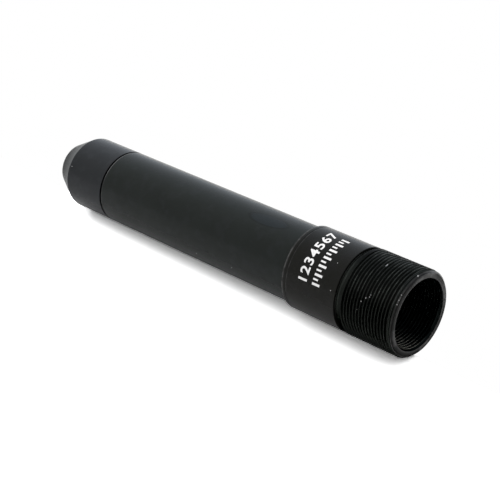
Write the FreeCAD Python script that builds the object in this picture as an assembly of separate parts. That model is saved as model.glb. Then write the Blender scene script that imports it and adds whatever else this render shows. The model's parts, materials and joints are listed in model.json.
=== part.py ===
import FreeCAD, Part
import math
import os

# Inspection camera lens: a slim 70 mm telephoto lens with a rear M12 x 0.5 thread and a cone nose.
# Lengths are in millimetres. The lens stands on its threaded end: z = 0 is the rear face, and +Z is
# the optical axis towards the nose. All turned pieces share that axis.

# Rear mount, outside
mount_thread_d = 12.0        # M12, the thread that holds the lens in a camera
mount_thread_pitch = 0.5
thread_length = 9.25         # rear face to the shoulder of the collar
rear_chamfer = 0.37
thread_land = 0.55           # plain band between the thread's last groove and the undercut
relief_width = 0.65          # undercut between the thread and the collar
relief_margin = 0.1          # how far the undercut goes below the thread's root
collar_undersize = 0.1       # the collar is this much thinner than the thread
collar_length = 9.25
collar_chamfer = 0.28

# Rear mount, inside
rear_thread_wall = 1.0       # between the outer thread and the inner M10 x 0.5 thread
bore_chamfer = 0.28
cell_step = 0.18             # the rear lens cell is this much narrower than the inner thread
rear_seat_width = 0.73
rear_seat_thickness = 0.8
thread_runout = 0.35         # inner thread past the lock ring

# Main tube
collar_step = 0.45           # the tube is this much lower than the collar
tube_length = 36.8           # the part that shows, collar to nose
tube_wall = 0.93
rear_spigot_step = 0.35
rear_spigot_length = 5.5
nose_socket_wall = 0.48      # wall of the tube around the nose's spigot
edge_chamfer = 0.1           # broken edge of the tube at the nose

# Nose
nose_cylinder_length = 7.74  # tube to cone
groove_width = 0.25          # dark groove round the joint of the nose and the tube
groove_depth = 0.3
nose_cone_length = 3.69
nose_tip_inset = 1.97        # the tip's edge is this much inside the tube's outside
nose_tip_land = 0.75
nose_tip_chamfer = 0.3
nose_lip = 1.5               # depth of the opening in front of the front lens
nose_spigot_length = 5.0
nose_wall = 1.2
front_cell_step = 0.48

# Front lens group
front_lens_thickness = 2.0
front_lens_radius = 72.0     # convex front, flat rear
front_spacer_length = 3.0
stop_thickness = 0.2
stop_hole_d = 5.4
doublet_spacer_length = 1.5
crown_front_radius = 44.0
cement_radius = 30.0         # shared by the crown and the flint
crown_thickness = 2.2
flint_thickness = 1.2
objective_ring_width = 0.5
objective_lock_length = 1.2

# Rear lens group
rear_positive_thickness = 2.0
rear_positive_radius = 22.0  # flat front, convex rear
rear_ring_width = 0.6
rear_spacer_length = 1.2
rear_negative_thickness = 1.2
rear_negative_front_radius = 26.0
rear_negative_rear_radius = 60.0
rear_lock_length = 1.2

# Baffles in the main tube
sleeve_wall = 0.45
baffle_thickness = 0.3
baffle_hole_d = 7.0
sleeve_count = 3

# Spanner slots in both lock rings
slot_width = 0.8
slot_depth = 0.5

# Fits
slide_fit = 0.02             # radial clearance of a piece in its bore
end_gap = 0.1                # axial clearance behind a stack or a spigot

# Thread proportions of the ISO metric profile, as shares of the pitch
OUTER_THREAD_DEPTH = 0.6134
INNER_THREAD_DEPTH = 0.5413
THREAD_CREST_FLAT = 0.125
THREAD_FLANK_ANGLE = 30      # degrees between a flank and the radial direction

AXIS = FreeCAD.Vector(0, 0, 1)
ORIGIN = FreeCAD.Vector(0, 0, 0)

# Radii
thread_r = mount_thread_d / 2
thread_root_r = thread_r - OUTER_THREAD_DEPTH * mount_thread_pitch
relief_r = thread_root_r - relief_margin
collar_r = thread_r - collar_undersize / 2
tube_r = collar_r - collar_step
tube_bore_r = tube_r - tube_wall
rear_spigot_r = tube_r - rear_spigot_step
nose_socket_r = tube_r - nose_socket_wall
nose_spigot_r = nose_socket_r - slide_fit
nose_tip_r = tube_r - nose_tip_inset
nose_opening_r = nose_tip_r - nose_tip_land
objective_bore_r = nose_spigot_r - nose_wall
front_cell_r = objective_bore_r - front_cell_step
rear_bore_r = thread_r - rear_thread_wall - INNER_THREAD_DEPTH * mount_thread_pitch
rear_cell_r = rear_bore_r - cell_step
rear_seat_hole_r = rear_cell_r - rear_seat_width

# Heights
collar_front_z = thread_length + collar_length
nose_z = collar_front_z + tube_length
cone_z = nose_z + nose_cylinder_length
tip_z = cone_z + nose_cone_length
socket_floor_z = collar_front_z - rear_spigot_length
rear_seat_z = socket_floor_z - rear_seat_thickness
nose_spigot_end_z = nose_z - nose_spigot_length


def point(r, z):
    return FreeCAD.Vector(r, 0, z)


def turned(outline):
    """Turn a closed outline of (radius, height) points about the axis."""
    corners = [point(r, z) for r, z in outline]
    face = Part.Face(Part.makePolygon(corners + corners[:1]))
    return face.revolve(ORIGIN, AXIS, 360)


def ring(outer_r, inner_r, low_z, high_z):
    return turned([(inner_r, low_z), (outer_r, low_z), (outer_r, high_z), (inner_r, high_z)])


def sag(radius, r):
    """Height between a sphere's vertex and its circle of radius r."""
    return radius - math.sqrt(radius ** 2 - r ** 2)


def surface(radius, edge_r, vertex_z, rise):
    """Half an optical surface from the axis outwards. rise is 1 where the edge lies above the vertex."""
    if radius is None:
        return Part.LineSegment(point(0, vertex_z), point(edge_r, vertex_z)).toShape()
    middle = point(edge_r / 2, vertex_z + rise * sag(radius, edge_r / 2))
    edge = point(edge_r, vertex_z + rise * sag(radius, edge_r))
    return Part.Arc(point(0, vertex_z), middle, edge).toShape()


def lens(edge_r, top, bottom):
    """A lens between two surfaces, each (radius, vertex height, rise, radius of its curved zone)."""
    edges = []
    rim_z = []
    for radius, vertex_z, rise, zone_r in (top, bottom):
        edges.append(surface(radius, zone_r, vertex_z, rise))
        z = vertex_z if radius is None else vertex_z + rise * sag(radius, zone_r)
        rim_z.append(z)
        if zone_r < edge_r:
            edges.append(Part.LineSegment(point(zone_r, z), point(edge_r, z)).toShape())
    edges.append(Part.LineSegment(point(edge_r, rim_z[0]), point(edge_r, rim_z[1])).toShape())
    edges.append(Part.LineSegment(point(0, top[1]), point(0, bottom[1])).toShape())
    outline = Part.Wire(Part.sortEdges(edges)[0])
    return Part.Face(outline).revolve(ORIGIN, AXIS, 360)


def cut_spanner_slots(lock_ring, outer_r, low_z):
    """Cut one slot across the rear face of a lock ring, which leaves a notch on each side."""
    slot = Part.makeBox(2 * outer_r, slot_width, slot_depth)
    slot.translate(FreeCAD.Vector(-outer_r, -slot_width / 2, low_z))
    return lock_ring.cut(slot)


def thread_grooves(start_z, end_z):
    """Outline of the outer thread's grooves, one pitch apart. Rings stand for the thread's helix."""
    mouth = (1 - THREAD_CREST_FLAT) * mount_thread_pitch / 2
    root = mouth - (thread_r - thread_root_r) * math.tan(math.radians(THREAD_FLANK_ANGLE))
    count = int((end_z - start_z) / mount_thread_pitch)
    points = []
    for number in range(count):
        z = end_z - (count - number - 0.5) * mount_thread_pitch
        points += [(thread_r, z - mouth), (thread_root_r, z - root)]
        points += [(thread_root_r, z + root), (thread_r, z + mouth)]
    return points


def make_rear_mount(thread_end_z):
    """Threaded rear barrel and collar, turned in one piece."""
    socket_r = rear_spigot_r + slide_fit
    relief_z = thread_length - relief_width
    return turned([
        (rear_bore_r + bore_chamfer, 0),
        (thread_r - rear_chamfer, 0),
        (thread_r, rear_chamfer),
        *thread_grooves(rear_chamfer, relief_z - thread_land),
        (thread_r, relief_z),
        (relief_r, relief_z),
        (relief_r, thread_length),
        (collar_r, thread_length),
        (collar_r, collar_front_z - collar_chamfer),
        (collar_r - collar_chamfer, collar_front_z),
        (socket_r, collar_front_z),
        (socket_r, socket_floor_z),
        (rear_seat_hole_r, socket_floor_z),
        (rear_seat_hole_r, rear_seat_z),
        (rear_cell_r, rear_seat_z),
        (rear_cell_r, thread_end_z),
        (rear_bore_r, thread_end_z),
        (rear_bore_r, bore_chamfer),
    ])


def make_main_tube():
    spigot_end_z = socket_floor_z + end_gap
    socket_end_z = nose_spigot_end_z - end_gap
    return turned([
        (tube_bore_r, spigot_end_z),
        (rear_spigot_r, spigot_end_z),
        (rear_spigot_r, collar_front_z),
        (tube_r, collar_front_z),
        (tube_r, nose_z - edge_chamfer),
        (tube_r - edge_chamfer, nose_z),
        (nose_socket_r, nose_z),
        (nose_socket_r, socket_end_z),
        (tube_bore_r, socket_end_z),
    ])


def make_front_nose(step_z):
    """Nose with its lens cells. step_z is where the wide bore ends and the front cell starts."""
    seat_z = tip_z - nose_lip
    return turned([
        (objective_bore_r, nose_spigot_end_z),
        (nose_spigot_r, nose_spigot_end_z),
        (nose_spigot_r, nose_z),
        (tube_r - groove_depth, nose_z),
        (tube_r - groove_depth, nose_z + groove_width),
        (tube_r, nose_z + groove_width),
        (tube_r, cone_z),
        (nose_tip_r, tip_z),
        (nose_opening_r + nose_tip_chamfer, tip_z),
        (nose_opening_r, tip_z - nose_tip_chamfer),
        (nose_opening_r, seat_z),
        (front_cell_r, seat_z),
        (front_cell_r, step_z),
        (objective_bore_r, step_z),
    ])


def make_front_group():
    """Front lens, stop and cemented doublet, stacked from the nose's lip towards the rear."""
    pieces = {}
    front_r = front_cell_r - slide_fit
    doublet_r = objective_bore_r - slide_fit
    doublet_hole_r = doublet_r - objective_ring_width

    vertex_z = tip_z - nose_lip + sag(front_lens_radius, nose_opening_r)
    low_z = vertex_z - front_lens_thickness
    pieces["front_element"] = lens(front_r, (front_lens_radius, vertex_z, -1, front_r),
                                   (None, low_z, 1, front_r))

    high_z = low_z
    low_z = high_z - front_spacer_length
    pieces["front_spacer"] = ring(front_r, front_r - objective_ring_width, low_z, high_z)
    step_z = low_z + end_gap

    high_z = low_z
    low_z = high_z - stop_thickness
    pieces["aperture_stop"] = ring(doublet_r, stop_hole_d / 2, low_z, high_z)

    high_z = low_z
    low_z = high_z - doublet_spacer_length
    pieces["doublet_spacer"] = ring(doublet_r, doublet_hole_r, low_z, high_z)

    crown_top_z = low_z + sag(crown_front_radius, doublet_hole_r)
    cement_z = crown_top_z - crown_thickness
    low_z = cement_z - flint_thickness
    cemented = (cement_radius, cement_z, 1, doublet_r)
    pieces["doublet_crown"] = lens(doublet_r, (crown_front_radius, crown_top_z, -1, doublet_r), cemented)
    pieces["doublet_flint"] = lens(doublet_r, cemented, (None, low_z, 1, doublet_r))

    high_z = low_z
    low_z = high_z - objective_lock_length
    lock_ring = ring(doublet_r, doublet_hole_r, low_z, high_z)
    pieces["objective_lock_ring"] = cut_spanner_slots(lock_ring, doublet_r, low_z)
    return pieces, step_z


def make_rear_group():
    """Rear positive and negative lens, stacked from the seat in the collar towards the rear."""
    pieces = {}
    lens_r = rear_cell_r - slide_fit
    hole_r = lens_r - rear_ring_width

    low_z = rear_seat_z - rear_positive_thickness
    pieces["rear_lens_positive"] = lens(lens_r, (None, rear_seat_z, 1, lens_r),
                                        (rear_positive_radius, low_z, 1, lens_r))

    high_z = low_z + sag(rear_positive_radius, hole_r)
    low_z = high_z - rear_spacer_length
    pieces["rear_lens_spacer"] = ring(lens_r, hole_r, low_z, high_z)

    top_z = low_z - sag(rear_negative_front_radius, hole_r)
    bottom_z = top_z - rear_negative_thickness
    pieces["rear_lens_negative"] = lens(lens_r, (rear_negative_front_radius, top_z, 1, hole_r),
                                        (rear_negative_rear_radius, bottom_z, -1, hole_r))

    high_z = bottom_z - sag(rear_negative_rear_radius, hole_r)
    low_z = high_z - rear_lock_length
    outer_r = rear_bore_r - slide_fit
    pieces["rear_lock_ring"] = cut_spanner_slots(ring(outer_r, hole_r, low_z, high_z), outer_r, low_z)
    thread_end_z = high_z + thread_runout
    return pieces, thread_end_z


def make_baffles():
    """Sleeves and baffles that fill the tube between the collar's seat and the nose's spigot."""
    pieces = {}
    outer_r = tube_bore_r - slide_fit
    room = nose_spigot_end_z - end_gap - socket_floor_z
    sleeve_length = (room - (sleeve_count - 1) * baffle_thickness) / sleeve_count
    low_z = socket_floor_z
    for number in range(1, sleeve_count + 1):
        high_z = low_z + sleeve_length
        pieces[f"baffle_sleeve_{number}"] = ring(outer_r, outer_r - sleeve_wall, low_z, high_z)
        if number < sleeve_count:
            low_z = high_z + baffle_thickness
            pieces[f"baffle_{number}"] = ring(outer_r, baffle_hole_d / 2, high_z, low_z)
    return pieces


def make_all():
    front_group, step_z = make_front_group()
    rear_group, thread_end_z = make_rear_group()
    pieces = {
        "rear_mount": make_rear_mount(thread_end_z),
        "main_tube": make_main_tube(),
        "front_nose": make_front_nose(step_z),
    }
    pieces.update(front_group)
    pieces.update(rear_group)
    pieces.update(make_baffles())
    return pieces


os.makedirs("parts", exist_ok=True)
for name, shape in make_all().items():
    shape.exportStep(f"parts/{name}.step")
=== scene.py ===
import bpy
import json
import math
from mathutils import Matrix, Vector


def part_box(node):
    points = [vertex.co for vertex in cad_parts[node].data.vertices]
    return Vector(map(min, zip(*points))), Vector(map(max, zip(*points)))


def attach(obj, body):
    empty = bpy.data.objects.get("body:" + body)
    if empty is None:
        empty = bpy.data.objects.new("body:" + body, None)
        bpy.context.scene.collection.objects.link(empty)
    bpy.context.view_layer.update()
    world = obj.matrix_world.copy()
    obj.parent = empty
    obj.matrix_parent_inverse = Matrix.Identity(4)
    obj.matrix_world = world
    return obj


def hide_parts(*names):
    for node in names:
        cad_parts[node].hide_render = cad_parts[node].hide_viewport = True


# Inspection camera lens in black anodised aluminium, with real threads at its rear. Lengths are in
# millimetres where no comment says metres. z = 0 is the rear face and +Z is the optical axis.

MM = 0.001
ROOT = "root"
SEGMENTS = 192               # round a turned piece
RING_SEGMENTS = 96           # round the lock ring, which is hardly seen
SMOOTH_ANGLE = math.radians(40)
MERGE = 1.5e-6               # metres, for points that belong together

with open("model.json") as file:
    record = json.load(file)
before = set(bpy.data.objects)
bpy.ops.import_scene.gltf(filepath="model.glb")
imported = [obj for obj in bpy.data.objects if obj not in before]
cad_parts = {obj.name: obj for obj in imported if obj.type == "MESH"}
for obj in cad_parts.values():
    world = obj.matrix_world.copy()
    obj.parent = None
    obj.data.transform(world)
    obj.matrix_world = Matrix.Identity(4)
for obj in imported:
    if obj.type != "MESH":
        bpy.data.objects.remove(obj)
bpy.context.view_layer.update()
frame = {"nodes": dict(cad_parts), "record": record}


def size_of(node):
    """Outer radius, lowest and highest z of a CAD node, in millimetres."""
    low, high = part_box(node)
    return high.x / MM, low.z / MM, high.z / MM


# Sizes that come from the frame
THREAD_R, _, COLLAR_FRONT = size_of("rear_mount")
TUBE_R, TUBE_REAR, JOINT_Z = size_of("main_tube")
_, NOSE_REAR, TIP_Z = size_of("front_nose")
FRONT_LENS_R, FRONT_LENS_REAR, FRONT_LENS_TOP = size_of("front_element")
REAR_LENS_R, REAR_LENS_LOW, REAR_LENS_HIGH = size_of("rear_lens_negative")
STOP_TOP = size_of("aperture_stop")[2]
REAR_RING_R, REAR_RING_LOW, REAR_RING_HIGH = size_of("rear_lock_ring")

# Rear mount
PITCH = 0.5                  # of both threads
TURNS = 19                   # a helix starts below the rear face and passes its end
THREAD_DEPTH = 0.6134 * PITCH
REAR_CHAMFER = 0.37
CREST_Z = 0.33               # height of a crest at +X, which turns the helix as in the photo
THREAD_END = 8.05            # the last crest fades into the plain land here
RELIEF_START = 8.6
RELIEF_R = 5.593
SHOULDER = 9.25
COLLAR_R = 5.95
COLLAR_CHAMFER = 0.28
SCRIBED_Z = 17.6             # fine turned line near the collar's front
SCRIBED_WIDTH = 0.14
SCRIBED_DEPTH = 0.05
REAR_FACE_R = THREAD_R - REAR_CHAMFER
BORE_MINOR_R = 4.729
BORE_MAJOR_R = 5.0
BORE_MOUTH_R = 5.009
BORE_THREAD_END = 8.076
CELL_R = 4.549
SEAT_HOLE_R = 3.819
SEAT_Z = 12.2
SOCKET_FLOOR = 13.0
SOCKET_R = 5.17
EDGE_ROUND = 0.05            # small round on every turned edge

# Tube and nose
TUBE_BORE_R = 4.57
SPIGOT_R = 5.15
NOSE_SOCKET_R = 5.02
NOSE_SOCKET_END = 50.2
JOINT_CHAMFER = 0.1
NOSE_SPIGOT_R = 5.0
GROOVE_DEPTH = 0.3
GROOVE_WIDTH = 0.25
CONE_Z = 63.04
TIP_R = 3.53
OPENING_R = 2.78
TIP_CHAMFER = 0.3
LIP_Z = TIP_Z - 1.5
FRONT_CELL_R = 3.32
CELL_STEP_Z = STOP_TOP + 0.1
NOSE_BORE_R = 3.8

# Lenses and lock ring
FRONT_CURVE = 72.0           # radius of the front lens's dome
REAR_HIGH_CURVE = 26.0       # and of the rear lens's two hollows
REAR_LOW_CURVE = 60.0
LENS_RIM = 0.6               # flat rim round the rear lens's hollows, under the lock ring
NOTCH_WIDTH, NOTCH_DEPTH = 0.8, 0.5
RING_ROUND = 0.04

# Photo's camera, as a view of the lens lying on its +Y side
CAMERA_PLACE = Vector((-118.446, -84.508, -83.893)) * MM
CAMERA_DOWN = math.radians(27.654)   # between the view and the lens's x-z plane, looking to +Y
CAMERA_TURN = math.radians(46.209)   # between the view and the lens's axis, seen along Y
FOCAL_LENGTH = 94.88
SENSOR = 36.0


# Shader maths

class Value:
    """A shader socket that can be used in a Python expression."""

    def __init__(self, graph, socket):
        self.graph = graph
        self.socket = socket

    def _with(self, operation, first, second):
        return self.graph.maths(operation, first, second)

    def __add__(self, other):
        return self._with("ADD", self, other)

    __radd__ = __add__

    def __sub__(self, other):
        return self._with("SUBTRACT", self, other)

    def __rsub__(self, other):
        return self._with("SUBTRACT", other, self)

    def __mul__(self, other):
        return self._with("MULTIPLY", self, other)

    __rmul__ = __mul__

    def __truediv__(self, other):
        return self._with("DIVIDE", self, other)

    def __rtruediv__(self, other):
        return self._with("DIVIDE", other, self)

    def __gt__(self, other):
        return self._with("GREATER_THAN", self, other)

    def __lt__(self, other):
        return self._with("LESS_THAN", self, other)


class Graph:
    """The nodes of one material or of the world."""

    def __init__(self, owner):
        owner.use_nodes = True
        self.tree = owner.node_tree
        self.tree.nodes.clear()

    def add(self, kind, settings=None, **values):
        """Add a node. Sockets are named with _ for a space, or in values as a dict under `sockets`."""
        node = self.tree.nodes.new(kind)
        for key, value in (settings or {}).items():
            setattr(node, key, value)
        sockets = values.pop("sockets", {})
        named = {key.replace("_", " "): value for key, value in values.items()}
        for key, value in {**named, **sockets}.items():
            if isinstance(value, Value):
                self.tree.links.new(value.socket, node.inputs[key])
            else:
                node.inputs[key].default_value = value
        return node

    def out(self, node, name=0):
        return Value(self, node.outputs[name])

    def maths(self, operation, *operands, clamp=False):
        settings = {"operation": operation, "use_clamp": clamp}
        return self.out(self.add("ShaderNodeMath", settings, sockets=dict(enumerate(operands))))

    def mix(self, factor, first, second):
        """Colour between first and second."""
        node = self.add("ShaderNodeMix", {"data_type": "RGBA"}, sockets={0: factor, 6: first, 7: second})
        return self.out(node, 2)

    def ramp(self, factor, low, high):
        """0 below low, 1 above high, smooth between."""
        settings = {"interpolation_type": "SMOOTHSTEP"}
        node = self.add("ShaderNodeMapRange", settings, Value=factor, From_Min=low, From_Max=high)
        return self.out(node)

    def noise(self, place, size, detail=3.0, stretch=(1, 1, 1)):
        """Noise with blobs of about the given size in millimetres."""
        scaled = self.add("ShaderNodeVectorMath", {"operation": "MULTIPLY"},
                          sockets={0: place, 1: tuple(k / (size * MM) for k in stretch)})
        node = self.add("ShaderNodeTexNoise", None, Vector=self.out(scaled), Scale=1.0, Detail=detail)
        return self.out(node, "Fac")

    def skin(self, colour, roughness, normal, **constants):
        """Principled shader whose other sockets are the same all over."""
        return self.out(self.add("ShaderNodeBsdfPrincipled", None, Base_Color=colour, Roughness=roughness,
                                 Normal=normal, **constants))

    def place(self):
        """Object coordinates, and x, y, z in millimetres."""
        vector = self.out(self.add("ShaderNodeTexCoord"), "Object")
        parts = self.add("ShaderNodeSeparateXYZ", None, Vector=vector)
        return (vector, *(self.out(parts, axis) / MM for axis in "XYZ"))


def grey(level, tint=(1, 1, 1)):
    return tuple(level * t for t in tint) + (1.0,)


def at_least(low, mask):
    """Mask lifted so that it never falls under low."""
    return low + (1 - low) * mask


def lay(graph, colour, layers):
    """Lay tinted greys over a colour, each given as (mask, level, tint)."""
    for mask, level, tint in layers:
        colour = graph.mix(mask, colour, grey(level, tint))
    return colour


def new_material(name):
    material = bpy.data.materials.new(name)
    return material, Graph(material)


def around(z, degrees, radius):
    """Point of a cylinder about the axis, in millimetres."""
    angle = math.radians(degrees)
    return radius * math.cos(angle), radius * math.sin(angle), z


def spots(graph, x, y, z, marks):
    """Mask of small round marks, each (z, degrees, size), laid on the surface from outside."""
    outward = THREAD_R / graph.maths("SQRT", x * x + y * y)
    laid = graph.out(graph.add("ShaderNodeCombineXYZ", None, X=x * outward, Y=y * outward, Z=z))
    total = None
    for height, degrees, size in marks:
        centre = around(height, degrees, THREAD_R)
        gap = graph.add("ShaderNodeVectorMath", {"operation": "DISTANCE"}, sockets={0: laid, 1: centre})
        mark = 1 - graph.ramp(graph.out(gap, "Value"), size * 0.5, size)
        total = mark if total is None else graph.maths("MAXIMUM", total, mark)
    return total


def dust(graph, vector, cell, share, size):
    """Sparse specks of dust: share of the cells hold one, with the given size in millimetres."""
    scaled = graph.add("ShaderNodeVectorMath", {"operation": "SCALE"},
                       sockets={0: vector, 3: 1 / (cell * MM)})
    cells = graph.add("ShaderNodeTexVoronoi", None, Vector=graph.out(scaled), Scale=1.0)
    near = 1 - graph.ramp(graph.out(cells, "Distance"), 0.5 * size / cell, size / cell)
    pick = graph.add("ShaderNodeSeparateColor", None, Color=graph.out(cells, "Color"))
    return near * (graph.out(pick, 0) < share)


# Materials

SPECK_COLOUR = grey(0.45)
DUST_CELL, DUST_SHARE, DUST_SIZE = 1.7, 0.14, 0.045
SKIN_DEPTH = 0.00001         # metres, of every skin's grain
PLAIN = (1, 1, 1)
THREAD_TINT = (0.96, 1.08, 0.98)
BORE_TINT = (0.85, 1.1, 1.05)
# Tint of the dust on the bore's ridges, which also carries their painted highlight
DUST_AND_HIGHLIGHT_TINT = (1.05, 1.0, 0.88)
CONE_TINT = (0.82, 1.04, 1.1)
SMUDGE_TINT = (0.8, 1.05, 1.3)
CONE_SHADE = 0.3              # share of the cone's gloss that painted shade takes away
TIP_SHADE = 0.3               # and how much more of it at the tip
SATIN_GLOSS = 0.145          # specular level of the blasted and anodised skin
GROOVE_SHADE_TINT = grey(0.12)     # gloss tint of the shaded copy of a skin, painted shade that darkens the reflection in grooves and hollows
HAIR = 0.02                  # how far a mask reaches past an edge


def anodised(name, base, tint, rough, marks, zones):
    """Black anodised aluminium with a fine blasted skin, cloudy gloss, dust and small nicks, and a shaded
    copy of the skin mixed in as painted shade where the zones ask.
    """
    material, graph = new_material(name)
    vector, x, y, z = graph.place()
    cloud = graph.noise(vector, 6.0, detail=4.0)
    grain = graph.noise(vector, 0.12, detail=2.0)
    blotch = graph.noise(vector, 1.6, detail=2.0)
    colour = graph.mix(cloud, grey(base * 0.75, tint), grey(base * 1.25, tint))
    colour = graph.mix(graph.ramp(blotch, 0.45, 0.7) * 0.5, colour, grey(base * 1.5, (tint[0], 1, 1.1)))
    colour = graph.mix(grain * 0.25, colour, grey(base * 1.9, tint))
    roughness = rough + (cloud - 0.5) * 0.12 + (grain - 0.5) * 0.1
    colour, roughness, cut = zones(graph, vector, x, y, z, colour, roughness)
    specks = dust(graph, vector, DUST_CELL, DUST_SHARE, DUST_SIZE)
    specks = graph.maths("MAXIMUM", specks, spots(graph, x, y, z, marks))
    colour = graph.mix(specks, colour, SPECK_COLOUR)
    bump = graph.out(graph.add("ShaderNodeBump", None, Strength=0.35, Distance=SKIN_DEPTH, Height=grain))
    gloss_tint = tuple(0.5 + 0.5 * t for t in tint) + (1,)
    surface = graph.skin(colour, roughness, bump, Specular_IOR_Level=SATIN_GLOSS, Specular_Tint=gloss_tint)
    # Painted shade: where the zones give a mask, a darker copy of the same skin is mixed in
    if cut:
        groove_shade = graph.skin(colour, roughness, bump, Metallic=1.0, Specular_Tint=GROOVE_SHADE_TINT)
        surface = graph.out(graph.add("ShaderNodeMixShader", None, sockets={0: cut, 1: surface, 2: groove_shade}))
    graph.add("ShaderNodeOutputMaterial", None, Surface=surface)
    return material


# Zones of the rear mount. Each pair is where a mask begins and where it is full.
CREST_TOP = (THREAD_R - 0.09, THREAD_R - HAIR / 2)
CREST_SIDE = (THREAD_R - 0.25, THREAD_R)
CHAMFER_EDGE = (REAR_FACE_R - 0.06, REAR_FACE_R - HAIR / 2)
LAND_EDGE = 0.1
BORE_START = 0.05
RIDGE_TOP = (BORE_MINOR_R, BORE_MINOR_R + HAIR)
RUN_OUT_START, RUN_OUT_END = (0.06, 0.16), (0.26, 0.36)
FACE_RIM = (REAR_FACE_R - 0.43, REAR_FACE_R - 0.05)
MOUTH_EDGE, MOUTH_DEPTH = (BORE_MOUTH_R + 0.04, BORE_MOUTH_R + 0.24), 0.06
COLLAR_CORNER = COLLAR_FRONT - COLLAR_CHAMFER
CORNER_HEIGHT = (COLLAR_CORNER - 0.3, COLLAR_CORNER - 0.1)
CORNER_RADIUS = (COLLAR_R - 0.2, COLLAR_R - 0.05)
SCRIBED_EDGE, SCRIBED_INSIDE = (SCRIBED_Z - 0.22, SCRIBED_Z - 0.14), SCRIBED_Z - 0.04

# Sides of the rear mount, in x and y. The lens lies on its +Y side. These sides lay painted light and shade
# on the mount.
SHADED_TOP, SHADED_LOW, SHADED_RIGHT = (-4.2, -2.0), (3.2, 4.6), (-3.5, 0.0)
RIM_SHADE_LOW, RIM_SHADE_LEFT = (0.0, 3.0), (-0.5, 1.5)
LIT_RIDGE_LOW, LIT_RIDGE_LEFT = (1.0, 2.6), (-1.0, 2.5)
HIGHLIGHT_LOW, HIGHLIGHT_LEFT = (0.5, 3.0), (-2.5, 1.0)
HIGHLIGHT_TOP, HIGHLIGHT_RIGHT = (-4.8, -2.5), (0.5, 2.5)
REFLECTION_LOW, REFLECTION_LEFT = (-1.5, 1.5), (-3.5, 0.0)
LAND_LEFT = (-4.5, -1.0)


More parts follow.
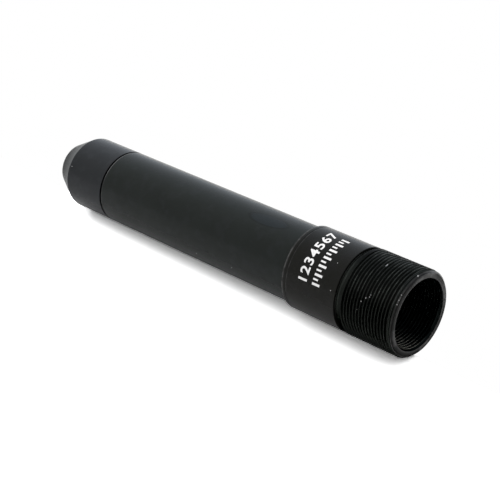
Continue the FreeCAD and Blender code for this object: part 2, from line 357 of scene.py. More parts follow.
def mount_zones(graph, vector, x, y, z, colour, roughness):
    """Cut thread, chamfer, undercut, turned rear face and bore of the rear mount, with painted shade in
    hollows and on one side, and painted highlights on edges and ridges.
    """
    ramp = graph.ramp
    radius = graph.maths("SQRT", x * x + y * y)
    outside = radius > (BORE_MAJOR_R + REAR_FACE_R) / 2
    wall = outside * (z > HAIR) * (z < SHOULDER - HAIR / 2)
    crest = wall * ramp(radius, *CREST_TOP) * (z < THREAD_END)
    chamfer = wall * ramp(radius - z, *CHAMFER_EDGE) * (z < REAR_CHAMFER)
    land = wall * (z > THREAD_END) * (z < RELIEF_START)
    land_edge = wall * (z > RELIEF_START - LAND_EDGE) * (radius > THREAD_R - LAND_EDGE)
    land_edge = land_edge * (z < RELIEF_START + HAIR)
    bore = (radius < BORE_MAJOR_R + HAIR) * (z > BORE_START)
    ridge = bore * (1 - ramp(radius, *RIDGE_TOP)) * (z < BORE_THREAD_END)
    rear_face = (z < HAIR) * (1 - bore)
    # Painted shade: the rear face's outer rim is darker on its low and left sides, where it would reflect
    # dark things
    rim_shade_side = graph.maths("MAXIMUM", ramp(y, *RIM_SHADE_LOW), 1 - ramp(x, *RIM_SHADE_LEFT))
    face_rim_shade = rear_face * ramp(radius, *FACE_RIM) * rim_shade_side
    # The run-out crest on the chamfer and the edges of the mouth, the collar's front and the scribed line
    # are lightened below: painted highlights, broken up by wear noise
    run_out = chamfer * ramp(z, *RUN_OUT_START) * (1 - ramp(z, *RUN_OUT_END))
    mouth_edge = (1 - ramp(radius, *MOUTH_EDGE)) * (z < MOUTH_DEPTH)
    front_edge = ramp(z, *CORNER_HEIGHT) * ramp(radius, *CORNER_RADIUS)
    scribed_edge = outside * ramp(z, *SCRIBED_EDGE) * (z < SCRIBED_INSIDE)

    worn = graph.noise(vector, 0.8, detail=3.0)
    turned = graph.noise(vector, 0.06, detail=1.0, stretch=(1, 1, 0.01))
    along = graph.noise(vector, 0.8, detail=3.0, stretch=(0.5, 0.5, 2.0))
    rubbed = ramp(worn, 0.35, 0.7)
    dashes = ramp(along, 0.42, 0.7)
    fine = ramp(graph.noise(vector, 0.2, detail=2.0), 0.4, 0.65)
    # Painted shade: the thread's middle band on its -X side keeps dim crests and more shade in its grooves,
    # and the rest is the lit side
    shaded_side = ramp(y, *SHADED_TOP) * (1 - ramp(y, *SHADED_LOW)) * (1 - ramp(x, *SHADED_RIGHT))
    lit_side = 1 - shaded_side
    # Bore ridges on the low left side are painted light, partly settled dust and partly a painted highlight
    # where they face the light
    dust_and_highlight = ramp(y, *LIT_RIDGE_LOW) * (1 - ramp(x, *LIT_RIDGE_LEFT))
    # Painted highlights: the chamfer and the run-out are lighter on their low left and top right sides
    low_left_highlight = ramp(y, *HIGHLIGHT_LOW) * (1 - ramp(x, *HIGHLIGHT_LEFT))
    top_right_highlight = (1 - ramp(y, *HIGHLIGHT_TOP)) * ramp(x, *HIGHLIGHT_RIGHT)
    # Painted reflection: the thread's walls are lighter on the low near side, which faces the floor
    underside_reflection = ramp(y, *REFLECTION_LOW) * (1 - ramp(x, *REFLECTION_LEFT))
    chamfer_sheen = spots(graph, x, y, z, CHAMFER_SHEEN_PATCHES)
    face_sheen = spots(graph, x, y, z, FACE_SHEEN_PATCHES)

    colour = lay(graph, colour, (
        (wall, 0.03, THREAD_TINT),
        (wall * ramp(radius, *CREST_SIDE), 0.01, THREAD_TINT),
        (crest * at_least(0.15, lit_side) * dashes * at_least(0.3, fine), 0.06, THREAD_TINT),
        (wall * underside_reflection * 0.3, 0.05, THREAD_TINT),
        (land, 0.005, THREAD_TINT),
        (land * (1 - ramp(x, *LAND_LEFT)), 0.014, THREAD_TINT),
        (land * rubbed * fine, 0.018, THREAD_TINT),
        (land_edge * dashes, 0.05, THREAD_TINT),
        (chamfer, 0.01, PLAIN),
        (run_out * at_least(0.3, rubbed), 0.035, PLAIN),
        (run_out * low_left_highlight * at_least(0.4, fine), 0.08, PLAIN),
        (run_out * chamfer_sheen * rubbed, 0.1, PLAIN),
        (chamfer * top_right_highlight * at_least(0.6, rubbed), 0.14, PLAIN),
        (rear_face, 0.008, PLAIN),
        (rear_face * turned * 0.4, 0.03, PLAIN),
        (rear_face * face_sheen * at_least(0.4, rubbed), 0.13, PLAIN),
        (face_rim_shade * 0.7, 0.008, PLAIN),
        (bore, 0.004, BORE_TINT),
        (ridge * at_least(0.4, rubbed), 0.05, BORE_TINT),
        (ridge * dust_and_highlight * at_least(0.4, rubbed) * at_least(0.15, fine), 0.5, DUST_AND_HIGHLIGHT_TINT),
        (mouth_edge * at_least(0.3, rubbed), 0.06, PLAIN),
        (front_edge * at_least(0.3, rubbed), 0.07, PLAIN),
        (scribed_edge * at_least(0.3, rubbed), 0.03, PLAIN),
    ))
    roughness = roughness + rear_face * 0.12
    # What is rubbed shiny, and the lit side, keep the satin gloss. The rest of the cut surface, the face's
    # rim and the bore get the shaded copy of the skin, painted shade in their hollows
    shiny = crest * at_least(0.1, lit_side) * at_least(0.3, dashes) + chamfer * 0.3 + run_out * 0.4
    shiny = graph.maths("MINIMUM", shiny + lit_side * 0.3, 1.0)
    groove_shade = graph.maths("MAXIMUM", wall * (1 - shiny), face_rim_shade * 0.5)
    return colour, roughness, graph.maths("MAXIMUM", groove_shade, bore * (1 - ridge * dust_and_highlight), clamp=True)


# Each mark is (z, degrees, size)
# Painted sheen: lighter patches on the rear face and its chamfer where they catch light
FACE_SHEEN_PATCHES = ((0.0, -82.0, 3.2), (0.0, -12.0, 2.2), (0.0, 165.0, 2.0), (0.0, 75.0, 1.4))
CHAMFER_SHEEN_PATCHES = ((0.2, -135.0, 1.4), (0.2, 150.0, 2.2))
MOUNT_MARKS = (
    (5.10, -157.6, 0.09), (4.55, -151.5, 0.13), (4.12, -148.7, 0.08), (4.05, -145.9, 0.08),
    (5.48, -169.5, 0.08), (4.74, -102.9, 0.13), (4.74, -101.3, 0.16), (4.74, -99.6, 0.13),
    (0.22, -96.4, 0.12), (0.25, -95.0, 0.12),
    (0.16, -143.9, 0.07), (0.21, -130.9, 0.08), (0.18, -138.0, 0.07),
    (10.80, -126.0, 0.08), (10.04, -161.0, 0.09),
)
TUBE_MARKS = ((35.24, 157.2, 0.10), (28.15, 162.5, 0.09))
NOSE_MARKS = ((62.59, -150.0, 0.09),)

# Dried oval smudge on the tube, near the collar
SMUDGE_Z, SMUDGE_DEGREES = 24.8, -104.5
SMUDGE_HALF_LENGTH, SMUDGE_HALF_WIDTH = 3.4, 1.0
SMUDGE_SLANT = 0.05

# Painted highlight on the tube's rounded edge at the nose joint, brightest at its top
TUBE_EDGE_HIGHLIGHT = (JOINT_Z - 0.24, JOINT_Z - 0.14)
TUBE_TOP = (-4.6, -2.4)


def tube_zones(graph, vector, x, y, z, colour, roughness):
    """A faint dried oval smudge near the collar, and a painted highlight on the edge at the nose joint,
    brightest at its top.
    """
    middle_x, _, middle_z = around(SMUDGE_Z, SMUDGE_DEGREES, TUBE_R)
    along = (z - middle_z) / SMUDGE_HALF_LENGTH
    across = (x - middle_x + (z - middle_z) * SMUDGE_SLANT) / SMUDGE_HALF_WIDTH
    gap = graph.maths("SQRT", along * along + across * across)
    near_side = y < 0.0
    rim = graph.ramp(gap, 0.72, 0.95) * (1 - graph.ramp(gap, 0.98, 1.15)) * near_side
    inside = (1 - graph.ramp(gap, 0.8, 1.0)) * near_side
    worn = graph.noise(vector, 1.5, detail=3.0)
    top = 1 - graph.ramp(y, *TUBE_TOP)
    edge = graph.ramp(z, *TUBE_EDGE_HIGHLIGHT) * graph.ramp(worn, 0.2, 0.5) * at_least(0.2, top)
    colour = lay(graph, colour, (
        (rim * 0.35, 0.001, PLAIN),
        (inside * 0.6, 0.016, SMUDGE_TINT),
        (edge, 0.16, PLAIN),
    ))
    return colour, roughness + rim * 0.04 - inside * 0.02, None


GROOVE_CORNER = (TUBE_R - 0.09, TUBE_R - 0.03)


def nose_zones(graph, vector, x, y, z, colour, roughness):
    """The cone's gloss is darkened with painted shade, more towards the tip, and the groove at the joint is
    painted black, as shade.
    """
    radius = graph.maths("SQRT", x * x + y * y)
    cone = z > CONE_Z + HAIR
    groove_shade = (z < JOINT_Z + GROOVE_WIDTH + HAIR / 2) * (1 - graph.ramp(radius, *GROOVE_CORNER))
    colour = lay(graph, colour, ((cone * 0.7, 0.03, CONE_TINT), (groove_shade, 0.001, PLAIN)))
    return colour, roughness, cone * (CONE_SHADE + TIP_SHADE * graph.ramp(z, CONE_Z, TIP_Z - 0.5)) + groove_shade


def plain_dull(name, level, rough):
    """Dull black of the hidden rings and sleeves."""
    material, graph = new_material(name)
    vector = graph.place()[0]
    grain = graph.noise(vector, 0.15, detail=2.0)
    rings = graph.noise(vector, 0.1, detail=1.0, stretch=(0.02, 0.02, 1))
    colour = graph.mix(grain, grey(level * 0.8), grey(level * 1.4))
    roughness = rough + (rings - 0.5) * 0.15
    bump = graph.add("ShaderNodeBump", None, Strength=0.3, Distance=SKIN_DEPTH, Height=rings)
    shader = graph.add("ShaderNodeBsdfPrincipled", None, Base_Color=colour, Roughness=roughness,
                       Normal=graph.out(bump), sockets={"Specular IOR Level": 0.3})
    graph.add("ShaderNodeOutputMaterial", None, Surface=graph.out(shader))
    return material


def lens_glass(name, tint, coat_tint):
    """Polished glass, with the tint of its anti-reflection coating in its gloss."""
    material, graph = new_material(name)
    vector = graph.place()[0]
    haze = graph.noise(vector, 1.5, detail=3.0)
    roughness = graph.ramp(haze, 0.3, 1.0) * 0.03
    shader = graph.add("ShaderNodeBsdfPrincipled", None, Roughness=roughness, sockets={
        "Base Color": tint, "Transmission Weight": 1.0, "IOR": 1.52,
        "Specular IOR Level": 0.5, "Specular Tint": coat_tint})
    graph.add("ShaderNodeOutputMaterial", None, Surface=graph.out(shader))
    return material


def print_ink():
    """White silk-screen ink, a little uneven at the grain of the metal under it."""
    material, graph = new_material("white_ink")
    vector = graph.place()[0]
    grain = graph.noise(vector, 0.1, detail=2.0)
    colour = graph.mix(graph.ramp(grain, 0.2, 0.5), grey(0.97), grey(1.0))
    shader = graph.add("ShaderNodeBsdfPrincipled", None, Base_Color=colour, Roughness=0.55 + grain * 0.15,
                       sockets={"Specular IOR Level": 0.3})
    graph.add("ShaderNodeOutputMaterial", None, Surface=graph.out(shader))
    return material


# Modelling helpers

RING_GAP = 4e-6              # metres, within which a point lies on a circle
HOLD = 1.6                   # place of an edge's holding rings, as a multiple of the round's width
ROUND_MIDDLE = 0.3           # place of a round's middle point between its corner and its ends


def deselect_all():
    bpy.ops.object.select_all(action="DESELECT")


def make_active(piece):
    deselect_all()
    piece.select_set(True)
    bpy.context.view_layer.objects.active = piece


def edit(piece):
    """Enter edit mode with every point selected."""
    make_active(piece)
    bpy.ops.object.mode_set(mode="EDIT")
    bpy.ops.mesh.select_mode(type="VERT")
    bpy.ops.mesh.select_all(action="SELECT")


def leave_edit():
    bpy.ops.object.mode_set(mode="OBJECT")


def select_ring(piece, radius, z):
    """Select the points on one circle about the axis. The piece is in edit mode."""
    leave_edit()
    for point in piece.data.vertices:
        off = math.hypot(point.co.x, point.co.y) - radius * MM
        point.select = abs(off) < RING_GAP and abs(point.co.z - z * MM) < RING_GAP
    bpy.ops.object.mode_set(mode="EDIT")


def soften(outline, width, closed=True):
    """Break every corner of an outline of (radius, z) with a small round and a holding ring each side."""
    points = [Vector(p) for p in outline]
    count = len(points)
    soft = []
    for i, corner in enumerate(points):
        if not closed and i in (0, count - 1):
            soft.append(corner)
            continue
        before = points[i - 1] - corner
        after = points[(i + 1) % count] - corner
        step = min(width, 0.3 * before.length, 0.3 * after.length)
        before.normalize()
        after.normalize()
        soft.append(corner + before * step * HOLD)
        soft.append(corner + before * step)
        soft.append(corner + (before + after) * step * ROUND_MIDDLE)
        soft.append(corner + after * step)
        soft.append(corner + after * step * HOLD)
    return [(p.x, p.y) for p in soft]


def extrude_along(outline):
    """Extrude the selected circle, which lies at the outline's first point, through its other points."""
    radius, z = outline[0]
    for next_radius, next_z in outline[1:]:
        move = {"value": (0, 0, (next_z - z) * MM)}
        bpy.ops.mesh.extrude_region_move(TRANSFORM_OT_translate=move)
        k = next_radius / radius
        bpy.ops.transform.resize(value=(k, k, 1), center_override=(0, 0, next_z * MM))
        radius, z = next_radius, next_z


def add_circle(radius, z, segments=SEGMENTS):
    deselect_all()
    bpy.ops.mesh.primitive_circle_add(vertices=segments, radius=radius * MM, fill_type="NOTHING")
    piece = bpy.context.object
    piece.data.transform(Matrix.Translation((0, 0, z * MM)))
    return piece


def tidy_mesh(piece):
    """Merge doubles and point every face outwards."""
    edit(piece)
    bpy.ops.mesh.remove_doubles(threshold=MERGE)
    bpy.ops.mesh.dissolve_degenerate(threshold=MERGE)
    bpy.ops.mesh.select_all(action="SELECT")
    bpy.ops.mesh.normals_make_consistent(inside=False)
    leave_edit()


def turned_ring(name, outline, edge=EDGE_ROUND, segments=SEGMENTS):
    """Turn a closed outline into a ring-shaped piece with softened edges."""
    outline = soften(outline, edge)
    piece = add_circle(*outline[0], segments)
    piece.name = name
    edit(piece)
    extrude_along(outline + outline[:1])
    leave_edit()
    tidy_mesh(piece)
    return piece


def turned_disc(name, outline):
    """Turn an open outline, from the axis at one end to the axis at the other, into a closed disc."""
    ends = [outline[0][1], outline[-1][1]]
    rim = outline[1:-1]
    piece = add_circle(*rim[0])
    piece.name = name
    edit(piece)
    extrude_along(rim)
    for (radius, z), pole in zip((rim[0], rim[-1]), ends):
        bpy.ops.mesh.select_all(action="DESELECT")
        select_ring(piece, radius, z)
        bpy.ops.mesh.extrude_region_move(TRANSFORM_OT_translate={"value": (0, 0, (pole - z) * MM)})
        bpy.ops.mesh.merge(type="CENTER")
    leave_edit()
    tidy_mesh(piece)
    return piece


def finish_piece(piece, material, replaces=()):
    """Shade a piece, give it its material, and hang it on the part."""
    make_active(piece)
    bpy.ops.object.shade_smooth_by_angle(angle=SMOOTH_ANGLE)
    piece.data.materials.clear()
    piece.data.materials.append(material)
    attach(piece, ROOT)
    if replaces:
        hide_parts(*replaces)
    return piece


def helix_skin(name, profile, start):
    """Screw one pitch of a thread's profile, a list of (radius, height), up the axis from start."""
    curve = bpy.data.curves.new(name, "CURVE")
    curve.dimensions = "3D"
    spline = curve.splines.new("POLY")
    spline.points.add(len(profile) - 1)
    for point, (radius, height) in zip(spline.points, profile):
        point.co = (radius * MM, 0, (start + height) * MM, 1)
    skin = bpy.data.objects.new(name, curve)
    bpy.context.collection.objects.link(skin)
    make_active(skin)
    bpy.ops.object.convert(target="MESH")
    screw = skin.modifiers.new("turns", "SCREW")
    screw.axis = "Z"
    screw.angle = 2 * math.pi
    screw.screw_offset = PITCH * MM
    screw.iterations = TURNS
    screw.steps = screw.render_steps = SEGMENTS
    bpy.ops.object.modifier_apply(modifier="turns")
    tidy_mesh(skin)
    return skin


def thread_profile(root_r, crest_r, root_flat, crest_flat):
    """One pitch of a 60 degree thread, from the middle of one root to the next."""
    flank = (PITCH - root_flat - crest_flat) / 2
    mid_r = (root_r + crest_r) / 2
    heights = [0, root_flat / 2, root_flat / 2 + flank / 2, root_flat / 2 + flank]
    rising = list(zip((root_r, root_r, mid_r, crest_r), heights))
    falling = [(radius, PITCH - height) for radius, height in reversed(rising)]
    return rising + falling


def fit_between(skin, low, high, low_r, high_r, limit):
    """End a helical skin in a plain circle at low and at high, and keep it inside limit(z, radius)."""
    for point in skin.data.vertices:
        z = point.co.z / MM
        radius = math.hypot(point.co.x, point.co.y) / MM
        if z <= low:
            wanted, z = low_r, low
        elif z >= high:
            wanted, z = high_r, high
        else:
            wanted = limit(z, radius)
        point.co.x *= wanted / radius
        point.co.y *= wanted / radius
        point.co.z = z * MM
    tidy_mesh(skin)


# Pieces

def make_rear_mount():
    """Threaded barrel and collar in one piece, with the outer and the inner thread as real helices."""
    profile = thread_profile(THREAD_R - THREAD_DEPTH, THREAD_R, PITCH / 6, PITCH / 8)
    outer = helix_skin("rear_mount_turned", profile, start=CREST_Z - 1.5 * PITCH)
    fit_between(outer, 0, THREAD_END, REAR_FACE_R, THREAD_R, lambda z, r: min(r, REAR_FACE_R + z))
    profile = thread_profile(BORE_MAJOR_R, BORE_MINOR_R, PITCH / 8, PITCH / 4)
    inner = helix_skin("rear_bore", profile, start=-PITCH)
    fit_between(inner, 0, BORE_THREAD_END, BORE_MOUTH_R, BORE_MINOR_R, lambda z, r: max(r, BORE_MOUTH_R - z))

    outline = soften([
        (THREAD_R, THREAD_END),
        (THREAD_R, RELIEF_START),
        (RELIEF_R, RELIEF_START),
        (RELIEF_R, SHOULDER),
        (COLLAR_R, SHOULDER),
        (COLLAR_R, SCRIBED_Z - SCRIBED_WIDTH / 2),
        (COLLAR_R - SCRIBED_DEPTH, SCRIBED_Z),
        (COLLAR_R, SCRIBED_Z + SCRIBED_WIDTH / 2),
        (COLLAR_R, COLLAR_FRONT - COLLAR_CHAMFER),
        (COLLAR_R - COLLAR_CHAMFER, COLLAR_FRONT),
        (SOCKET_R, COLLAR_FRONT),
        (SOCKET_R, SOCKET_FLOOR),
        (SEAT_HOLE_R, SOCKET_FLOOR),
        (SEAT_HOLE_R, SEAT_Z),
        (CELL_R, SEAT_Z),
        (CELL_R, BORE_THREAD_END),
        (BORE_MINOR_R, BORE_THREAD_END),
    ], EDGE_ROUND, closed=False)
    body = add_circle(*outline[0])
    edit(body)
    extrude_along(outline)
    leave_edit()
    face = add_circle(BORE_MOUTH_R, 0)
    edit(face)
    extrude_along([(BORE_MOUTH_R, 0), (REAR_FACE_R, 0)])
    leave_edit()

    deselect_all()
    for part in (outer, inner, body, face):
        part.select_set(True)
    bpy.context.view_layer.objects.active = outer
    bpy.ops.object.join()
    tidy_mesh(outer)
    material = anodised("collar_black", 0.006, (1.04, 1.05, 0.93), 0.21, MOUNT_MARKS, mount_zones)
    return finish_piece(outer, material, ["rear_mount"])


def make_main_tube():
    piece = turned_ring("main_tube_turned", [
        (TUBE_BORE_R, TUBE_REAR),
        (SPIGOT_R, TUBE_REAR),
        (SPIGOT_R, COLLAR_FRONT),
        (TUBE_R, COLLAR_FRONT),
        (TUBE_R, JOINT_Z - JOINT_CHAMFER),
        (TUBE_R - JOINT_CHAMFER, JOINT_Z),
        (NOSE_SOCKET_R, JOINT_Z),
        (NOSE_SOCKET_R, NOSE_SOCKET_END),
        (TUBE_BORE_R, NOSE_SOCKET_END),
    ])
    material = anodised("tube_black", 0.012, (0.92, 1.08, 1.02), 0.21, TUBE_MARKS, tube_zones)
    return finish_piece(piece, material, ["main_tube"])


def make_front_nose():
    piece = turned_ring("front_nose_turned", [
        (NOSE_BORE_R, NOSE_REAR),
        (NOSE_SPIGOT_R, NOSE_REAR),
        (NOSE_SPIGOT_R, JOINT_Z),
        (TUBE_R - GROOVE_DEPTH, JOINT_Z),
        (TUBE_R - GROOVE_DEPTH, JOINT_Z + GROOVE_WIDTH),
        (TUBE_R, JOINT_Z + GROOVE_WIDTH),
        (TUBE_R, CONE_Z),
        (TIP_R, TIP_Z),
        (OPENING_R + TIP_CHAMFER, TIP_Z),
        (OPENING_R, TIP_Z - TIP_CHAMFER),
        (OPENING_R, LIP_Z),
        (FRONT_CELL_R, LIP_Z),
        (FRONT_CELL_R, CELL_STEP_Z),
        (NOSE_BORE_R, CELL_STEP_Z),
    ])
    material = anodised("nose_black", 0.019, (0.93, 1.01, 1.11), 0.23, NOSE_MARKS, nose_zones)
    return finish_piece(piece, material, ["front_nose"])


def dome(radius, edge_r, vertex_z, rise, steps=10):
    """Points of a spherical lens surface from near the axis to its edge."""
    points = []
    for step in range(1, steps + 1):
        r = edge_r * step / steps
        points.append((r, vertex_z + rise * (radius - math.sqrt(radius ** 2 - r ** 2))))
    return points


def make_lenses():
    """The two lenses that can be seen from outside, with smooth domes."""
    coated = lens_glass("coated_glass", (0.93, 0.97, 0.95, 1), (0.75, 0.55, 1.0, 1))
    top = dome(FRONT_CURVE, FRONT_LENS_R, FRONT_LENS_TOP, -1)
    outline = [(0, FRONT_LENS_TOP)] + top + [(FRONT_LENS_R, FRONT_LENS_REAR), (0, FRONT_LENS_REAR)]
    front = turned_disc("front_element_polished", outline)
    finish_piece(front, coated, ["front_element"])

    hollow_r = REAR_LENS_R - LENS_RIM
    hollow_top = dome(REAR_HIGH_CURVE, hollow_r, 0, 1)
    hollow_low = dome(REAR_LOW_CURVE, hollow_r, 0, -1)
    top_z = REAR_LENS_HIGH - hollow_top[-1][1]
    low_z = REAR_LENS_LOW - hollow_low[-1][1]
    outline = [(0, top_z)] + [(r, top_z + z) for r, z in hollow_top]
    outline += [(REAR_LENS_R, REAR_LENS_HIGH), (REAR_LENS_R, REAR_LENS_LOW)]
    outline += [(r, low_z + z) for r, z in reversed(hollow_low)] + [(0, low_z)]
    rear = turned_disc("rear_lens_polished", outline)
    finish_piece(rear, coated, ["rear_lens_negative"])


def make_rear_lock_ring():
    """Lock ring in the rear bore, with two spanner notches cut in its face."""
    hole_r = REAR_LENS_R - LENS_RIM
    piece = turned_ring("rear_lock_ring_turned", [
        (hole_r, REAR_RING_LOW),
        (REAR_RING_R, REAR_RING_LOW),
        (REAR_RING_R, REAR_RING_HIGH),
        (hole_r, REAR_RING_HIGH),
    ], RING_ROUND, RING_SEGMENTS)
    deselect_all()
    bpy.ops.mesh.primitive_cube_add(size=1)
    cutter = bpy.context.object
    bulk = Matrix.Diagonal((3 * REAR_RING_R * MM, NOTCH_WIDTH * MM, 2 * NOTCH_DEPTH * MM, 1))
    cutter.data.transform(Matrix.Translation((0, 0, REAR_RING_LOW * MM)) @ bulk)
    make_active(piece)
    cut = piece.modifiers.new("notches", "BOOLEAN")
    cut.operation = "DIFFERENCE"
    cut.solver = "EXACT"
    cut.object = cutter
    bpy.ops.object.modifier_apply(modifier="notches")
    bpy.data.objects.remove(cutter)
    tidy_mesh(piece)
    return finish_piece(piece, plain_dull("ring_black", 0.012, 0.45), ["rear_lock_ring"])


# White print on the collar: a plain numbered index scale
PRINT_LIFT = 0.012           # height of the ink over the collar
INK_THICKNESS = 0.03
STRIP = 0.12                 # width of the strips that a digit is cut into
DIGIT_REACH = 0.8            # half the width of the widest digit, and a little more
CAP_HEIGHT = 0.7             # height of a digit as a share of the font's size
DIGIT_LOW, DIGIT_HIGH = 14.05, 15.55
DIGIT_WIDEN = 1.1            # the digits are wider than the plain font's
DIGIT_BOLD = 0.04            # outward offset of a digit's outline
TICK_LOW, TICK_HIGH = 11.9, 13.15
LONG_TICK_WIDTH = 0.32
SHORT_TICK, SHORT_TICK_WIDTH = 0.8, 0.24
PRINT_START, PRINT_END = -162.0, -89.0
DIGITS = "1234567"


def wrap_on_collar(piece, degrees):
    """Wrap a flat mark, drawn with x along the row and y up, round the collar."""
    for point in piece.data.vertices:
        angle = math.radians(degrees) + point.co.x / COLLAR_R
        radius = COLLAR_R + PRINT_LIFT + point.co.z
        point.co = Vector((radius * math.cos(angle), radius * math.sin(angle), point.co.y)) * MM


def slice_digit(piece):
    """Cut a flat digit across into strips, so that it bends with the collar."""
    edit(piece)
    count = int(DIGIT_REACH / STRIP)
    for k in range(-count, count + 1):
        bpy.ops.mesh.select_all(action="SELECT")
        bpy.ops.mesh.bisect(plane_co=(k * STRIP, 0, 0), plane_no=(1, 0, 0))
    leave_edit()


def digit_mark(text, degrees):
    deselect_all()
    bpy.ops.object.text_add()
    piece = bpy.context.object
    piece.data.body = text
    piece.data.align_x = "CENTER"
    piece.data.size = (DIGIT_HIGH - DIGIT_LOW - 2 * DIGIT_BOLD) / CAP_HEIGHT
    piece.data.offset = DIGIT_BOLD
    bpy.ops.object.convert(target="MESH")
    piece.data.transform(Matrix.Diagonal((DIGIT_WIDEN, 1, 1, 1)))
    slice_digit(piece)
    piece.data.transform(Matrix.Translation((0, DIGIT_LOW + DIGIT_BOLD, 0)))
    wrap_on_collar(piece, degrees)
    return piece


def tick_mark(height, width, degrees):
    deselect_all()
    bpy.ops.mesh.primitive_plane_add(size=1)
    piece = bpy.context.object
    place = Matrix.Translation((0, TICK_HIGH - height / 2, 0))
    piece.data.transform(place @ Matrix.Diagonal((width, height, 1, 1)))
    wrap_on_collar(piece, degrees)
    return piece


def make_print():
    marks = []
    spacing = (PRINT_END - PRINT_START) / (len(DIGITS) - 1)
    for index, text in enumerate(DIGITS):
        degrees = PRINT_START + index * spacing
        marks.append(digit_mark(text, degrees))
        marks.append(tick_mark(TICK_HIGH - TICK_LOW, LONG_TICK_WIDTH, degrees))
        if index < len(DIGITS) - 1:
            marks.append(tick_mark(SHORT_TICK, SHORT_TICK_WIDTH, degrees + spacing / 2))
    deselect_all()
    for mark in marks:
        mark.select_set(True)
    bpy.context.view_layer.objects.active = marks[0]
    bpy.ops.object.join()
    piece = marks[0]
    piece.name = "collar_scale"
    solid = piece.modifiers.new("ink", "SOLIDIFY")
    solid.thickness = INK_THICKNESS * MM
    solid.offset = -1
    bpy.ops.object.modifier_apply(modifier="ink")
    return finish_piece(piece, print_ink())


def dress_hidden_nodes():
    """Finishes for the pieces inside, which keep their CAD shape."""
    dull = plain_dull("inner_black", 0.01, 0.6)
    stop = plain_dull("stop_black", 0.008, 0.5)
    clear = lens_glass("plain_glass", (0.96, 0.98, 0.97, 1), (1, 1, 1, 1))
    flint = lens_glass("flint_glass", (0.97, 0.97, 0.92, 1), (1, 1, 1, 1))
    finishes = {"inner_black": dull, "stop_brass": stop, "plain_glass": clear, "flint_glass": flint}
    slots = {part["node"]: part["material_slot"] for part in frame["record"]["subparts"]}
    for name, node in frame["nodes"].items():
        if slots[name] in finishes:
            node.data.materials.clear()
            node.data.materials.append(finishes[slots[name]])


# Stage, light and camera

FLOOR_SIZE = 4.0             # metres
ROOM_SHADE = 0.28            # how much darker the side that the photo's camera stands on is in gloss
SHADE_TURN = (-0.6, 0.5)     # over this part of the direction's x it gives way to the far side
WARM_SIDE = (1.0, 1.0, 0.98, 1)
COOL_SIDE = (0.92, 0.99, 1.08, 1)
ROOM_LEVEL = 0.65            # soft light from all sides
TOP_POWER = 6.0              # softbox over the lying lens
TOP_PLACE, TOP_SIZE = (0.06, -0.42, 0.66), (0.7, 0.7)    # metres


def floor_material(name, gain, glow, in_gloss):
    """White floor, seen by the camera from its front. Gloss sees it too where in_gloss gives its white, and
    then the camera sees only the half with the shadow."""
    material, graph = new_material(name)
    path = graph.add("ShaderNodeLightPath")
    geometry = graph.add("ShaderNodeNewGeometry")
    front = 1 - graph.out(geometry, "Backfacing")
    seen = graph.out(path, "Is Camera Ray") * front
    white = graph.add("ShaderNodeBsdfDiffuse", None, Color=grey(gain))
    light = graph.add("ShaderNodeEmission", None, Strength=glow)
    lit = graph.add("ShaderNodeAddShader", None, sockets={0: graph.out(white), 1: graph.out(light)})
    clear = graph.add("ShaderNodeBsdfTransparent")
    if in_gloss:
        x = graph.place()[1]
        seen = seen * (x < 0)
    surface = graph.add("ShaderNodeMixShader", None, sockets={
        0: seen, 1: graph.out(clear), 2: graph.out(lit)})
    if in_gloss:
        plain = graph.add("ShaderNodeBsdfDiffuse", None, Color=grey(in_gloss))
        surface = graph.add("ShaderNodeMixShader", None, sockets={
            0: graph.out(path, "Is Glossy Ray") * front, 1: graph.out(surface), 2: graph.out(plain)})
    graph.add("ShaderNodeOutputMaterial", None, Surface=graph.out(surface))
    return material


def make_floors():
    """The photo's floor, on which the lens lies, and the one under the standing lens."""
    # The lying lens rests on the collar's front corner and on the nose, just behind its cone
    tilt = math.atan2(COLLAR_R - TUBE_R, CONE_Z - COLLAR_CORNER)
    lying = Matrix.Translation((0, TUBE_R * MM, CONE_Z * MM)) @ Matrix.Rotation(math.pi / 2 + tilt, 4, "X")
    standing = Matrix.Identity(4)
    floors = (("lying_floor", lying, 2.75, 0.0, 0.83), ("standing_floor", standing, 1.8, 0.1, 0))
    for name, place, gain, glow, in_gloss in floors:
        deselect_all()
        bpy.ops.mesh.primitive_plane_add(size=FLOOR_SIZE)
        floor = bpy.context.object
        floor.name = name
        floor.data.transform(place)
        floor.data.materials.append(floor_material(name, gain, glow, in_gloss))


def add_softbox(name, place, target, size, power):
    """Soft lamp that lights the lens but isn't mirrored in it."""
    lamp = bpy.data.lights.new(name, "AREA")
    lamp.shape = "RECTANGLE"
    lamp.size, lamp.size_y = size
    lamp.energy = power
    holder = bpy.data.objects.new(name, lamp)
    holder.location = place
    holder.rotation_euler = (Vector(target) - Vector(place)).to_track_quat("-Z", "Y").to_euler()
    holder.visible_glossy = False
    bpy.context.collection.objects.link(holder)


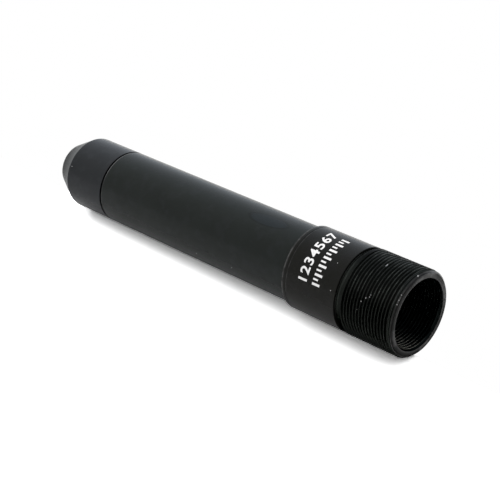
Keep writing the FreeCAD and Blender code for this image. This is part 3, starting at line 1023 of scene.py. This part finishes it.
def make_light():
    """White studio all round, in gloss a little darker on the side that the photo's camera stands on."""
    world = bpy.data.worlds.new("studio")
    bpy.context.scene.world = world
    graph = Graph(world)
    path = graph.add("ShaderNodeLightPath")
    mirrored = graph.out(path, "Is Glossy Ray")
    seen = graph.out(path, "Is Camera Ray") + mirrored + graph.out(path, "Is Transmission Ray")
    direction = graph.out(graph.add("ShaderNodeTexCoord"), "Generated")
    parts = graph.add("ShaderNodeSeparateXYZ", None, Vector=direction)
    far = graph.ramp(graph.out(parts, "X"), *SHADE_TURN)
    level = 1 - (1 - far) * ROOM_SHADE
    tint = graph.mix(mirrored, (1, 1, 1, 1), graph.mix(far, WARM_SIDE, COOL_SIDE))
    soft = graph.add("ShaderNodeBackground", None, Color=(1, 1, 1, 1), Strength=ROOM_LEVEL)
    white = graph.add("ShaderNodeBackground", None, Color=tint, Strength=1 - mirrored * (1 - level))
    both = graph.add("ShaderNodeMixShader", None, sockets={
        0: graph.maths("MINIMUM", seen, 1.0), 1: graph.out(soft), 2: graph.out(white)})
    graph.add("ShaderNodeOutputWorld", None, Surface=graph.out(both))
    middle = (0, 0, TIP_Z * MM / 2)
    add_softbox("top_softbox", TOP_PLACE, middle, TOP_SIZE, TOP_POWER)


def make_camera():
    ahead = Vector((math.sin(CAMERA_TURN) * math.cos(CAMERA_DOWN), math.sin(CAMERA_DOWN),
                    math.cos(CAMERA_TURN) * math.cos(CAMERA_DOWN)))
    right = Vector((math.cos(CAMERA_TURN), 0, -math.sin(CAMERA_TURN)))
    up = right.cross(ahead)
    lens = bpy.data.cameras.new("photo_camera")
    lens.lens = FOCAL_LENGTH
    lens.sensor_width = SENSOR
    lens.clip_start = 0.01
    lens.clip_end = 20
    camera = bpy.data.objects.new("photo_camera", lens)
    turn = Matrix((right, up, -ahead)).transposed().to_4x4()
    camera.matrix_world = Matrix.Translation(CAMERA_PLACE) @ turn
    bpy.context.collection.objects.link(camera)
    bpy.context.scene.camera = camera


make_camera()
make_light()
make_floors()
make_rear_mount()
make_main_tube()
make_front_nose()
make_lenses()
make_rear_lock_ring()
make_print()
dress_hidden_nodes()
bpy.context.scene.view_settings.view_transform = "Standard"
